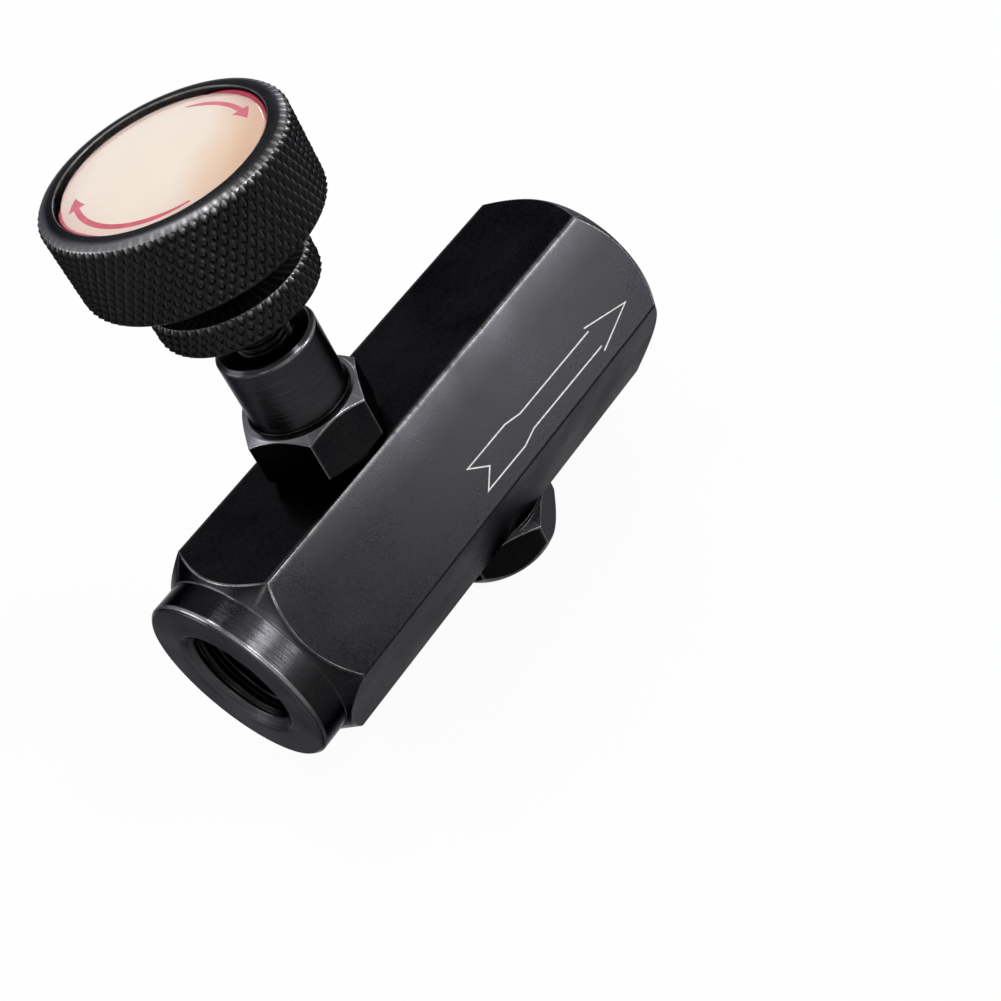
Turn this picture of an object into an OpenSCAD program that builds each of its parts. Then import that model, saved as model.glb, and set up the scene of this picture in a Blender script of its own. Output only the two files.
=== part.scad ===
// Inline throttle valve: a needle set by a knurled knob, with a spring-loaded check beside it.
// X runs along the flow from the inlet face, and Z is the needle's axis, up towards the knob.

/* [Body] */
// Width of the hexagonal body across its flats
body_af = 24; // [23:0.5:28]
// Length of the hexagon, from the collar's root to the outlet's face
hex_len = 61.6; // [58:0.2:80]
// How much smaller the round end face is than the width across flats
end_face_margin = 0.8; // [0.4:0.1:2]
// Slope of the corner chamfer, measured from the end face
end_chamfer_angle = 48; // [30:1:52]
// Diameter of the round collar at the inlet
collar_d = 23; // [20:0.5:23]
// Length of the collar
collar_len = 3.8; // [2:0.2:6]
// Chamfer on the collar's outer edge
collar_edge = 0.4; // [0.2:0.1:0.8]

/* [Ports] */
// Major diameter of the port thread, G1/4
port_thread_d = 13.16; // [12:0.02:14]
// Depth of the port from its face
port_depth = 14; // [12:0.5:15]
// Diameter of the countersink at the port's mouth
port_mouth_d = 14.8; // [14.2:0.1:16]
// Angle of the drill point at the port's bottom, from the wall
port_point_angle = 59; // [45:1:80]

/* [Flow passages] */
// Diameter of the two passages drilled along the body
passage_d = 4; // [3:0.1:4.2]
// Thickness of the web between the two passages
web_t = 2; // [1.6:0.1:3]
// Diameter of the needle's seat
needle_seat_d = 3.5; // [2.8:0.1:4]
// Diameter of the check valve's seat
check_seat_d = 5; // [4:0.1:5.4]

/* [Screwed bores] */
// Major diameter of the thread that holds the bonnet and the plug
bore_thread_d = 12; // [11.6:0.1:12.6]
// Length of that thread
bore_thread_len = 5; // [4:0.1:5.1]
// Thickness of the O-ring's cord under the bonnet and the plug
seal_cord_d = 1.3; // [1:0.05:1.4]

/* [Bonnet] */
// Distance from the hexagon's inlet end to the needle's axis
needle_pos = 20.4; // [19:0.2:21]
// Width of the bonnet's hexagon across its flats
bonnet_af = 13.1; // [12.8:0.1:15]
// Height of the bonnet's hexagon with its washer face
bonnet_hex_h = 7; // [5:0.2:9]
// Angle of the bonnet's first flat from the X axis
bonnet_turn = 18; // [0:1:59]
// Diameter of the round neck above the hexagon
neck_d = 11.1; // [9.5:0.1:11.8]
// Length of the neck
neck_len = 8.6; // [7:0.1:14]
// Chamfer at the neck's top
neck_chamfer = 0.5; // [0.3:0.1:1.2]
// Length of the bonnet's smooth bore, from its lower end
smooth_bore_len = 10.5; // [9.8:0.1:12]

/* [Needle stem] */
// Diameter of the stem's thread
stem_thread_d = 6; // [5:0.1:6.2]
// Diameter of the stem where it slides in the bonnet
stem_d = 7; // [6.6:0.1:7.4]
// Half angle of the needle's cone
needle_angle = 22; // [16:1:28]
// How far the stem rises from here to fully open
open_travel = 3; // [2:0.1:3.4]
// How far the stem sinks from here until the needle closes
close_travel = 0.75; // [0.4:0.05:1]
// Thickness of the O-ring's cord on the stem
stem_seal_d = 1; // [0.8:0.05:1.1]
// Width of the backing ring beside it
backing_w = 0.95; // [0.7:0.05:1.1]
// Length of the stem's land above its seal
upper_land = 1.7; // [1.2:0.1:2]

/* [Lock ring] */
// Diameter of the knurled lock ring
ring_d = 17.8; // [14:0.2:20]
// Height of the lock ring
ring_h = 3.7; // [3:0.1:6]
// Gap between the bonnet and the lock ring
ring_gap = 4.9; // [2:0.1:6]

/* [Knob] */
// Diameter of the knurled knob
knob_d = 26; // [24:0.2:32]
// Height of the knob
knob_h = 9.3; // [9:0.1:13]
// Gap between the lock ring and the knob
knob_gap = 4.1; // [2:0.1:6]
// Diameter of the recess that holds the dial
recess_d = 21.8; // [19:0.1:22.6]
// Depth of that recess
recess_depth = 1.8; // [1.4:0.1:2.2]

/* [Knurl] */
// Width of one diamond of the knurl, measured around the grip
knurl_pitch = 1.1; // [0.9:0.05:2]
// Lean of the knurl's grooves from the grip's axis
knurl_lean = 30; // [20:1:45]
// Depth of the grooves
knurl_depth = 0.35; // [0.2:0.05:0.5]
// Chamfer on the edges of the knob and of the lock ring
knurl_edge = 0.4; // [0.2:0.1:0.6]

/* [Dial] */
// Thickness of the dial plate
plate_t = 0.6; // [0.3:0.1:0.8]
// Thickness of the clear dome at its edge
lens_edge_t = 0.7; // [0.4:0.1:0.9]
// Rise of the dome from its edge to its middle
lens_rise = 0.8; // [0.4:0.1:1.4]

/* [Knob screw] */
// Thread diameter of the screw that holds the knob
screw_d = 3; // [2.5:0.1:3]
// Length of the screw under its head
screw_len = 7; // [5:0.5:10]
// Diameter of the screw's head
screw_head_d = 5.4; // [4.8:0.1:5.8]
// Height of the screw's head
screw_head_h = 1.6; // [1.2:0.1:1.8]
// Thickness of the spring washer under the head
washer_t = 0.7; // [0.5:0.05:0.8]

/* [Check valve] */
// Distance from the hexagon's inlet end to the check valve's axis
check_pos = 34.4; // [34:0.2:37]
// How far the poppet opens
check_travel = 1.8; // [1.2:0.1:2]
// How far the poppet's head reaches past its seat, all round
head_lap = 1.1; // [0.8:0.1:1.4]
// Diameter of the poppet's guide
guide_d = 9; // [8.4:0.1:9.2]
// Length of the poppet's guide
guide_len = 3.4; // [2.8:0.1:3.8]
// Width across flats of the plug's hexagon
plug_af = 15.1; // [14:0.1:17]
// Height of the plug's hexagon with its washer face
plug_hex_h = 5.9; // [4.6:0.1:8]
// Room left under the poppet's guide when it is fully open
cup_room = 1.7; // [1.2:0.1:2.4]
// Mean diameter of the spring
spring_d = 5.6; // [5:0.1:6]
// Thickness of the spring's wire
wire_d = 0.8; // [0.5:0.05:0.9]
// Number of turns of the spring
spring_turns = 4; // [4:1:5]

/* [Clearances] */
// Radial gap of a sliding or a screwed fit
run_gap = 0.05; // [0.03:0.01:0.08]
// Gap that is left where a seal or the needle meets its seat
seat_gap = 0.03; // [0.02:0.01:0.05]

/* [Hidden] */

// Smoothness of round pieces and of O-ring cords
$fn = 96;
cord_fn = 32;
// A cut runs past its surface by this much
past = 1;

black_oxide = "#202124";
knurl_black = "#17181a";
bright_steel = "#a9abad";
seal_black = "#111111";

// Stations along the body
total_len = collar_len + hex_len;
needle_x = collar_len + needle_pos;
check_x = collar_len + check_pos;

// Heights above the port axis
flat_z = body_af / 2;
passage_z = (web_t + passage_d) / 2;
seat_z = web_t / 2;

// Screwed bores, alike above and below
thread_end_z = flat_z - bore_thread_len;
gland_h = seal_cord_d + 2 * run_gap;
gland_z = thread_end_z - gland_h;
gland_d = bore_thread_d - 0.7;
shank_d = bore_thread_d - 2 * run_gap;
seal_r = (gland_d - seal_cord_d) / 2 - run_gap;

// Needle stem, from its seat upwards
needle_chamber_d = stem_d + 0.8;
groove_r = stem_d / 2 - stem_seal_d - seat_gap;
groove_w = stem_seal_d + backing_w + 3 * run_gap;
shoulder_room = 0.3;
stop_z = thread_end_z + smooth_bore_len;
shoulder_z = stop_z - open_travel - shoulder_room;
groove_top_z = shoulder_z - upper_land;
groove_low_z = groove_top_z - groove_w;
waist_d = needle_seat_d + 1.1;
cone_slope = tan(needle_angle);
cone_seat_r = needle_seat_d / 2 - close_travel * cone_slope - seat_gap;
cone_top_z = seat_z + (waist_d / 2 - cone_seat_r) / cone_slope;
cone_tip_r = 0.5;
cone_tip_z = seat_z - (cone_seat_r - cone_tip_r) / cone_slope;
land_z = thread_end_z - 0.8;

// Bonnet, lock ring and knob
bonnet_top_z = flat_z + bonnet_hex_h + neck_len;
ring_z = bonnet_top_z + ring_gap;
knob_z = ring_z + ring_h + knob_gap;
knob_top_z = knob_z + knob_h;
recess_z = knob_top_z - recess_depth;
hub_recess = 1;
hub_z = knob_z + hub_recess;
tang_d = stem_thread_d - 1.4;
tang_flat = tang_d * 0.36;
screw_pocket_h = screw_head_h + washer_t + 0.5;
washer_z = recess_z - screw_pocket_h;
tang_top_z = washer_z - 0.2;
head_z = washer_z + washer_t;
washer_d = screw_head_d + 0.6;
screw_pocket_d = washer_d + 0.5;
plate_d = recess_d - 0.6;
lens_d = plate_d - 0.3;

// Check valve, from its seat downwards
poppet_gap = seat_gap * sqrt(2);
head_d = check_seat_d + 2 * head_lap;
check_chamber_d = head_d + 1.2;
poppet_tip_r = check_seat_d / 2 - 1.3;
poppet_rim_z = -seat_z - (head_d - check_seat_d) / 2 - poppet_gap;
poppet_tip_z = -seat_z + (check_seat_d / 2 - poppet_tip_r) - poppet_gap;
poppet_rim_h = 0.8;
poppet_neck_d = check_seat_d;
plug_top_z = -thread_end_z;
guide_top_z = plug_top_z - 0.6;
guide_low_z = guide_top_z - guide_len;
pocket_top_z = guide_top_z - 0.8;
cup_d = guide_d + 2 * run_gap;
cup_floor_z = guide_low_z - check_travel - cup_room;
cup_depth = plug_top_z - cup_floor_z;
pocket_d = spring_d + wire_d + 0.2;
spring_h = pocket_top_z - cup_floor_z - seat_gap;

// A solid turned about Z from its half section
module turned(section) {
  rotate_extrude() polygon(section);
}

// A hexagonal prism with a pair of flats facing the angle given
module hex_prism(af, h, turn = 0) {
  rotate([0, 0, turn + 30]) cylinder(h = h, d = af / cos(30), $fn = 6);
}

// A hexagon with a turned washer face under it and a chamfered top
module hex_head(af, h, washer_h, chamfer_angle, turn) {
  corner_r = af / 2 / cos(30);
  face_r = af / 2 - 0.2;
  top_drop = (corner_r + past - face_r) * tan(chamfer_angle);
  low_rise = (corner_r + past - face_r) * tan(30);
  intersection() {
    hex_prism(af, h, turn);
    turned([[0, 0], [face_r, 0], [face_r, washer_h], [corner_r + past, washer_h + low_rise],
            [corner_r + past, h - top_drop], [face_r, h], [0, h]]);
  }
}

// An O-ring lying flat, centred on the height given
module o_ring(mean_r, cord_d, z) {
  translate([0, 0, z]) rotate_extrude() translate([mean_r, 0]) circle(d = cord_d, $fn = cord_fn);
}

// A port's bore from its face inwards along Z: countersink, thread wall and drill point
module port_bore() {
  wall_r = port_thread_d / 2;
  mouth_r = port_mouth_d / 2;
  turned([[0, -past], [mouth_r, -past], [mouth_r, 0], [wall_r, mouth_r - wall_r],
          [wall_r, port_depth], [0, port_depth + wall_r / tan(port_point_angle)]]);
}

// A screwed bore from the flat downwards: thread wall, seal corner and chamber
module screwed_bore(chamber_d) {
  turned([[0, flat_z + past], [bore_thread_d / 2, flat_z + past],
          [bore_thread_d / 2, thread_end_z - run_gap], [gland_d / 2, thread_end_z - run_gap],
          [gland_d / 2, gland_z], [chamber_d / 2, gland_z], [chamber_d / 2, seat_z], [0, seat_z]]);
}

// The outside of the body: hexagon, corner chamfers and the inlet's collar, all turned about X
module body_blank() {
  face_r = (body_af - end_face_margin) / 2;
  collar_r = collar_d / 2;
  corner_r = body_af / 2 / cos(30) + past;
  drop = (corner_r - face_r) * tan(end_chamfer_angle);
  intersection() {
    rotate([0, 90, 0]) hex_prism(body_af, total_len);
    rotate([0, 90, 0])
      turned([[0, 0], [collar_r - collar_edge, 0], [collar_r, collar_edge], [collar_r, collar_len],
              [face_r, collar_len], [corner_r, collar_len + drop],
              [corner_r, total_len - drop], [face_r, total_len], [0, total_len]]);
  }
}

module valve_body() {
  low_len = check_x - port_depth;
  high_len = total_len - port_depth - needle_x;
  color(black_oxide) difference() {
    body_blank();
    rotate([0, 90, 0]) port_bore();
    translate([total_len, 0, 0]) rotate([0, -90, 0]) port_bore();
    translate([port_depth, 0, -passage_z]) rotate([0, 90, 0]) cylinder(h = low_len, d = passage_d);
    translate([needle_x, 0, passage_z]) rotate([0, 90, 0]) cylinder(h = high_len, d = passage_d);
    translate([needle_x, 0, 0]) screwed_bore(needle_chamber_d);
    translate([check_x, 0, 0]) mirror([0, 0, 1]) screwed_bore(check_chamber_d);
    translate([needle_x, 0, -passage_z]) cylinder(h = passage_z + seat_z + past, d = needle_seat_d);
    translate([check_x, 0, -seat_z - past]) cylinder(h = passage_z + seat_z + past, d = check_seat_d);
  }
}

module bonnet() {
  shank_edge = 0.4;
  bore_r = stem_d / 2 + run_gap;
  thread_r = stem_thread_d / 2 + run_gap;
  neck_z = flat_z + bonnet_hex_h;
  color(black_oxide) translate([needle_x, 0, 0]) difference() {
    union() {
      turned([[0, thread_end_z], [shank_d / 2 - shank_edge, thread_end_z],
              [shank_d / 2, thread_end_z + shank_edge], [shank_d / 2, flat_z], [0, flat_z]]);
      translate([0, 0, flat_z]) hex_head(bonnet_af, bonnet_hex_h, 0.6, 36, bonnet_turn);
      turned([[0, neck_z], [neck_d / 2, neck_z], [neck_d / 2, bonnet_top_z - neck_chamfer],
              [neck_d / 2 - neck_chamfer, bonnet_top_z], [0, bonnet_top_z]]);
    }
    turned([[0, thread_end_z - past], [bore_r, thread_end_z - past], [bore_r, stop_z],
            [thread_r, stop_z], [thread_r, bonnet_top_z + past], [0, bonnet_top_z + past]]);
  }
}

module bonnet_o_ring() {
  color(seal_black) translate([needle_x, 0, 0]) o_ring(seal_r, seal_cord_d, gland_z + gland_h / 2);
}

module needle_stem() {
  land_r = stem_d / 2;
  waist_r = waist_d / 2;
  thread_r = stem_thread_d / 2;
  tap_r = screw_d / 2 + run_gap;
  tap_depth = screw_len + 1;
  color(bright_steel) translate([needle_x, 0, 0]) difference() {
    turned([[0, cone_tip_z], [cone_tip_r, cone_tip_z], [waist_r, cone_top_z],
            [waist_r, land_z - (land_r - waist_r)], [land_r, land_z], [land_r, groove_low_z],
            [groove_r, groove_low_z], [groove_r, groove_top_z], [land_r, groove_top_z],
            [land_r, shoulder_z], [thread_r, shoulder_z], [thread_r, hub_z],
            [tang_d / 2, hub_z], [tang_d / 2, tang_top_z], [0, tang_top_z]]);
    translate([0, 0, tang_top_z - tap_depth]) cylinder(h = tap_depth + past, r = tap_r);
    translate([tang_flat, -tang_d, hub_z]) cube([tang_d, 2 * tang_d, knob_h]);
  }
}

module stem_o_ring() {
  mean_r = stem_d / 2 - stem_seal_d / 2;
  z = groove_low_z + run_gap + stem_seal_d / 2;
  color(seal_black) translate([needle_x, 0, 0]) o_ring(mean_r, stem_seal_d, z);
}

module stem_backup_ring() {
  z = groove_top_z - run_gap - backing_w;
  color("ivory") translate([needle_x, 0, z]) difference() {
    cylinder(h = backing_w, d = stem_d);
    translate([0, 0, -past]) cylinder(h = backing_w + 2 * past, r = groove_r + run_gap / 2);
  }
}

// A grip with a diamond knurl between two chamfers. Its side is a grid of points on levels, and
// peaks and groove crossings take turns on it like the fields of a chessboard, so each peak has
// four crossings round it and the grooves run along the diagonals.
module knurled_grip(d, h) {
  peak_r = d / 2;
  crossing_r = peak_r - knurl_depth;
  edge_r = peak_r - knurl_edge;
  side_h = h - 2 * knurl_edge;
  count = 2 * round(PI * d / knurl_pitch);
  levels = max(2, round(2 * side_h * tan(knurl_lean) / knurl_pitch));
  function at(k, r, z) = [r * cos(360 * k / count), r * sin(360 * k / count), z];
  function is_peak(k, j) = (k + j) % 2 == 1;
  function id(k, j) = (j + 1) * count + k % count;
  low_edge = [for (k = [0 : count - 1]) at(k, edge_r, 0)];
  side = [for (j = [0 : levels], k = [0 : count - 1])
          at(k, is_peak(k, j) ? peak_r : crossing_r, knurl_edge + side_h * j / levels)];
  top_edge = [for (k = [0 : count - 1]) at(k, edge_r, h)];
  // Rows of the grid, with the chamfers as its first and last row
  split = [for (j = [-1 : levels], k = [0 : count - 1])
           each is_peak(k, j)
             ? [[id(k, j), id(k, j + 1), id(k + 1, j)], [id(k + 1, j), id(k, j + 1), id(k + 1, j + 1)]]
             : [[id(k, j), id(k, j + 1), id(k + 1, j + 1)], [id(k, j), id(k + 1, j + 1), id(k + 1, j)]]];
  low_cap = [for (k = [0 : count - 1]) id(k, -1)];
  top_cap = [for (k = [count - 1 : -1 : 0]) id(k, levels + 1)];
  polyhedron(concat(low_edge, side, top_edge), concat(split, [low_cap, top_cap]), convexity = 4);
}

module lock_ring() {
  mouth_r = stem_thread_d / 2 + 0.5;
  thread_r = stem_thread_d / 2 + run_gap;
  mouth_h = mouth_r - thread_r;
  color(knurl_black) translate([needle_x, 0, ring_z]) difference() {
    knurled_grip(ring_d, ring_h);
    turned([[0, -past], [mouth_r, -past], [mouth_r, 0], [thread_r, mouth_h],
            [thread_r, ring_h - mouth_h], [mouth_r, ring_h], [mouth_r, ring_h + past],
            [0, ring_h + past]]);
  }
}

module knob() {
  hub_r = stem_thread_d / 2 + 0.3;
  bore_h = washer_z - hub_z;
  color(knurl_black) translate([needle_x, 0, 0]) difference() {
    translate([0, 0, knob_z]) knurled_grip(knob_d, knob_h);
    translate([0, 0, knob_z - past]) cylinder(h = hub_recess + past, r = hub_r);
    translate([0, 0, hub_z - past]) difference() {
      cylinder(h = bore_h + 2 * past, d = tang_d + 2 * run_gap);
      translate([tang_flat + run_gap, -tang_d, past]) cube([tang_d, 2 * tang_d, bore_h + 2 * past]);
    }
    translate([0, 0, washer_z]) cylinder(h = screw_pocket_h + past, d = screw_pocket_d);
    translate([0, 0, recess_z]) cylinder(h = recess_depth + past, d = recess_d);
  }
}

module knob_screw() {
  socket_af = 2;
  socket_depth = 1;
  color(bright_steel) translate([needle_x, 0, head_z]) difference() {
    union() {
      translate([0, 0, -screw_len]) cylinder(h = screw_len, d = screw_d);
      cylinder(h = screw_head_h, d = screw_head_d);
    }
    translate([0, 0, screw_head_h - socket_depth]) hex_prism(socket_af, socket_depth + past);
  }
}

module knob_spring_washer() {
  slit_w = 0.5;
  slit_lean = 25;
  color(bright_steel) translate([needle_x, 0, washer_z]) difference() {
    cylinder(h = washer_t, d = washer_d);
    translate([0, 0, -past]) cylinder(h = washer_t + 2 * past, d = screw_d + 0.3);
    translate([0, 0, washer_t / 2]) rotate([slit_lean, 0, 0])
      translate([0, -slit_w / 2, -washer_t * 2]) cube([washer_d, slit_w, washer_t * 4]);
  }
}

module dial_plate() {
  color("#efe6da") translate([needle_x, 0, recess_z]) cylinder(h = plate_t, d = plate_d);
}

// The dome's arc from its edge to its top, as points of its half section
dome_r = (pow(lens_d / 2, 2) + pow(lens_rise, 2)) / (2 * lens_rise);
dome_angle = asin(lens_d / 2 / dome_r);
dome_steps = 10;
function dome_point(i) =
  let (a = dome_angle * (1 - i / dome_steps))
  [dome_r * sin(a), lens_edge_t + lens_rise - dome_r * (1 - cos(a))];

module dial_lens() {
  arc = [for (i = [0 : dome_steps]) dome_point(i)];
  color("#f4f0ea", 0.4) translate([needle_x, 0, recess_z + plate_t])
    turned(concat([[0, 0], [lens_d / 2, 0]], arc));
}

module check_poppet() {
  slots = 3;
  slot_w = 1.8;
  slot_depth = 0.8;
  head_r = head_d / 2;
  guide_r = guide_d / 2;
  rim_low_z = poppet_rim_z - poppet_rim_h;
  color(bright_steel) translate([check_x, 0, 0]) difference() {
    turned([[0, poppet_tip_z], [poppet_tip_r, poppet_tip_z], [head_r, poppet_rim_z],
            [head_r, rim_low_z], [poppet_neck_d / 2, rim_low_z], [poppet_neck_d / 2, guide_top_z],
            [guide_r, guide_top_z], [guide_r, guide_low_z], [pocket_d / 2, guide_low_z],
            [pocket_d / 2, pocket_top_z], [0, pocket_top_z]]);
    for (i = [0 : slots - 1]) rotate([0, 0, 360 / slots * i])
      translate([guide_r - slot_depth, -slot_w / 2, guide_low_z - past])
        cube([guide_d, slot_w, guide_len + 2 * past]);
  }
}

// Height of the spring's wire after t turns, with one closed turn at each end
spring_rise = spring_h - wire_d;
dead_rise = wire_d * 1.04;
live_rise = (spring_rise - 2 * dead_rise) / (spring_turns - 2);
function wire_z(t) =
  t < 1 ? t * dead_rise
  : t > spring_turns - 1 ? spring_rise - (spring_turns - t) * dead_rise
  : dead_rise + (t - 1) * live_rise;

wire_sides = 8;
wire_steps = 18;
wire_rings = spring_turns * wire_steps + 1;
function wire_point(i, j) =
  let (a = 360 * i / wire_steps,
       b = 360 * j / wire_sides,
       r = spring_d / 2 + wire_d / 2 * cos(b))
  [r * cos(a), r * sin(a), wire_d / 2 + wire_z(i / wire_steps) + wire_d / 2 * sin(b)];

module check_spring() {
  last = wire_rings - 1;
  points = [for (i = [0 : last], j = [0 : wire_sides - 1]) wire_point(i, j)];
  sides = [for (i = [0 : last - 1], j = [0 : wire_sides - 1])
           let (k = (j + 1) % wire_sides)
           [i * wire_sides + j, i * wire_sides + k, (i + 1) * wire_sides + k, (i + 1) * wire_sides + j]];
  start = [for (j = [wire_sides - 1 : -1 : 0]) j];
  finish = [for (j = [0 : wire_sides - 1]) last * wire_sides + j];
  color(bright_steel) translate([check_x, 0, cup_floor_z])
    polyhedron(points, concat(sides, [start, finish]), convexity = 8);
}

module check_plug() {
  shank_edge = 0.4;
  color(black_oxide) translate([check_x, 0, 0]) difference() {
    union() {
      turned([[0, plug_top_z], [shank_d / 2 - shank_edge, plug_top_z],
              [shank_d / 2, plug_top_z - shank_edge], [shank_d / 2, -flat_z], [0, -flat_z]]);
      translate([0, 0, -flat_z]) mirror([0, 0, 1]) hex_head(plug_af, plug_hex_h, 0.5, 55, 0);
    }
    translate([0, 0, cup_floor_z]) cylinder(h = cup_depth + past, d = cup_d);
  }
}

module plug_o_ring() {
  color(seal_black) translate([check_x, 0, 0]) o_ring(seal_r, seal_cord_d, -gland_z - gland_h / 2);
}

valve_body();
bonnet();
bonnet_o_ring();
needle_stem();
stem_o_ring();
stem_backup_ring();
lock_ring();
knob();
knob_screw();
knob_spring_washer();
dial_plate();
dial_lens();
check_poppet();
check_spring();
check_plug();
plug_o_ring();
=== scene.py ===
import bpy
import numpy as np
from mathutils import Matrix, Vector


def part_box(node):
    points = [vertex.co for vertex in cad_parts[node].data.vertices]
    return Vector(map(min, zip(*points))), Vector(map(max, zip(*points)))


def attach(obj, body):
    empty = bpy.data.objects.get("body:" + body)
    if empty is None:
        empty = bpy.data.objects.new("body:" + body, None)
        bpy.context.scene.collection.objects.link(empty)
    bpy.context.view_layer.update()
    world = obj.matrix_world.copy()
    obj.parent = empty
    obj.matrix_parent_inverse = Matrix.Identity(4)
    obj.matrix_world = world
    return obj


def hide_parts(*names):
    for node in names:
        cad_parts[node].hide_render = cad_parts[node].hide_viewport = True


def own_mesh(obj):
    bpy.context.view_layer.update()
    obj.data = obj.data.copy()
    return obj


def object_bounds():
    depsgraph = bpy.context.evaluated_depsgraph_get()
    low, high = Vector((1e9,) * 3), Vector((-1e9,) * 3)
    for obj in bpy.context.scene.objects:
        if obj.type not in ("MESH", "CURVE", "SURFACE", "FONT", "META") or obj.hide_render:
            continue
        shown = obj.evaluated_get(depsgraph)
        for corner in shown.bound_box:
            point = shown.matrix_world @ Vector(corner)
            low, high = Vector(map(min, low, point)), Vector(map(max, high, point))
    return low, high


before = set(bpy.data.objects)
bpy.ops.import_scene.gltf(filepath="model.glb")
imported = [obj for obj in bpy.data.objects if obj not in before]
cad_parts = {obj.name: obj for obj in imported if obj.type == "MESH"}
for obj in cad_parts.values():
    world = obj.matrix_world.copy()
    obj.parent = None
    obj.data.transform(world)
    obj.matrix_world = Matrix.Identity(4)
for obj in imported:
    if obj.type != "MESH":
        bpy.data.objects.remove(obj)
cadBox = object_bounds()
mm = 0.001
turn = 2 * np.pi
print("frame loaded:", len(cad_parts), "nodes")

# Places taken from the frame, in mm: the two screwed axes, the body's half width and its length among them
bonnetLow, bonnetHigh = np.array(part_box("bonnet")) / mm
plugLow, plugHigh = np.array(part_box("check_plug")) / mm
bodyLow, bodyHigh = np.array(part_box("valve_body")) / mm
knobLow, knobHigh = np.array(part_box("knob")) / mm
ringLow, ringHigh = np.array(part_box("lock_ring")) / mm
springLow, springHigh = np.array(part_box("check_spring")) / mm
stemTop = np.array(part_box("needle_stem"))[1, 2] / mm
needleX = (bonnetLow[0] + bonnetHigh[0]) / 2
checkX = (plugLow[0] + plugHigh[0]) / 2
flatZ = bodyHigh[2]
bodyLength = bodyHigh[0] - bodyLow[0]


# Surfaces

def makeMesh(name, points, quads, tris, layers):
    # Mesh of points in mm with values on them. A vertex's normal is the sum of the cross products of the
    # diagonals of its faces, which grow with area, so that flats stay flat beside narrow bends. A shell whose
    # faces' triple products sum to less than zero is turned round.
    a, b, c, d = [points[quads[:, k]] for k in range(4)]
    volume = np.einsum("ij,ij->i", a, np.cross(b - a, c - a) + np.cross(c - a, d - a)).sum()
    a, b, c = [points[tris[:, k]] for k in range(3)]
    volume += np.einsum("ij,ij->i", a, np.cross(b, c)).sum()
    if volume < 0:
        quads, tris = quads[:, ::-1], tris[:, ::-1]
    mesh = bpy.data.meshes.new(name)
    mesh.from_pydata((points * mm).tolist(), [], quads.tolist() + tris.tolist())
    mesh.polygons.foreach_set("use_smooth", np.ones(len(mesh.polygons), bool))
    normals = np.zeros_like(points)
    for faces in (quads, tris):
        first, second, third, last = [points[faces[:, k]] for k in (0, 1, 2, -1)]
        area = np.cross(third - first, last - second)
        for k in range(faces.shape[1]):
            np.add.at(normals, faces[:, k], area)
    normals /= np.maximum(np.linalg.norm(normals, axis=1, keepdims=True), 1e-12)
    mesh.normals_split_custom_set_from_vertices(normals.tolist())
    for key, values in layers.items():
        layer = mesh.attributes.new(key, "FLOAT", "POINT")
        layer.data.foreach_set("value", np.clip(values, 0, 1).astype(np.float32))
    mesh.validate()
    piece = bpy.data.objects.new(name, mesh)
    bpy.context.scene.collection.objects.link(piece)
    return piece


def gridPiece(name, grid, closedRows=False, layers=None, split=None):
    # Closed surface over a grid of columns round an axis by rows along an outline. The columns close on
    # themselves. The rows close too, or else the first and the last row are each one point. split says
    # which diagonal cuts a quad.
    columns, rows = grid.shape[:2]
    index = np.arange(columns * rows).reshape(columns, rows)
    following = np.roll(index, -1, 0)
    if closedRows:
        lower, upper = index, np.roll(index, -1, 1)
        lowerNext, upperNext = following, np.roll(following, -1, 1)
        tris = np.zeros((0, 3), int)
    else:
        lower, upper = index[:, 1:-2], index[:, 2:-1]
        lowerNext, upperNext = following[:, 1:-2], following[:, 2:-1]
        start = np.stack([np.full(columns, index[0, 0]), following[:, 1], index[:, 1]], -1)
        end = np.stack([np.full(columns, index[0, -1]), index[:, -2], following[:, -2]], -1)
        tris = np.concatenate([start, end])
    quads = np.stack([lower, lowerNext, upperNext, upper], -1).reshape(-1, 4)
    if split is not None:
        cut = split.ravel()
        away, along = quads[cut], quads[~cut]
        halves = [away[:, [0, 1, 3]], away[:, [1, 2, 3]], along[:, [0, 1, 2]], along[:, [0, 2, 3]]]
        tris = np.concatenate([*halves, tris])
        quads = quads[:0]
    used = np.unique(np.concatenate([quads.ravel(), tris.ravel()]))
    renumber = np.full(columns * rows, -1)
    renumber[used] = np.arange(len(used))
    layers = {key: np.broadcast_to(values, (columns, rows)).ravel()[used]
              for key, values in (layers or {}).items()}
    return makeMesh(name, grid.reshape(-1, 3)[used], renumber[quads], renumber[tris], layers)


def cappedPiece(name, lines):
    # Band or wire: lines along a path make its sides, and an end closes on the middle of the lines' ends
    caps = [np.broadcast_to(lines[:, k].mean(0), (len(lines), 1, 3)) for k in (0, -1)]
    return gridPiece(name, np.concatenate([caps[0], lines, caps[1]], 1))


def perColumn(count, corners):
    # An outline's corners as one array, where a value may be one number or one for each column
    rows = [[np.broadcast_to(value, count) for value in corner] for corner in corners]
    return np.moveaxis(np.array(rows), -1, 0)


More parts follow.
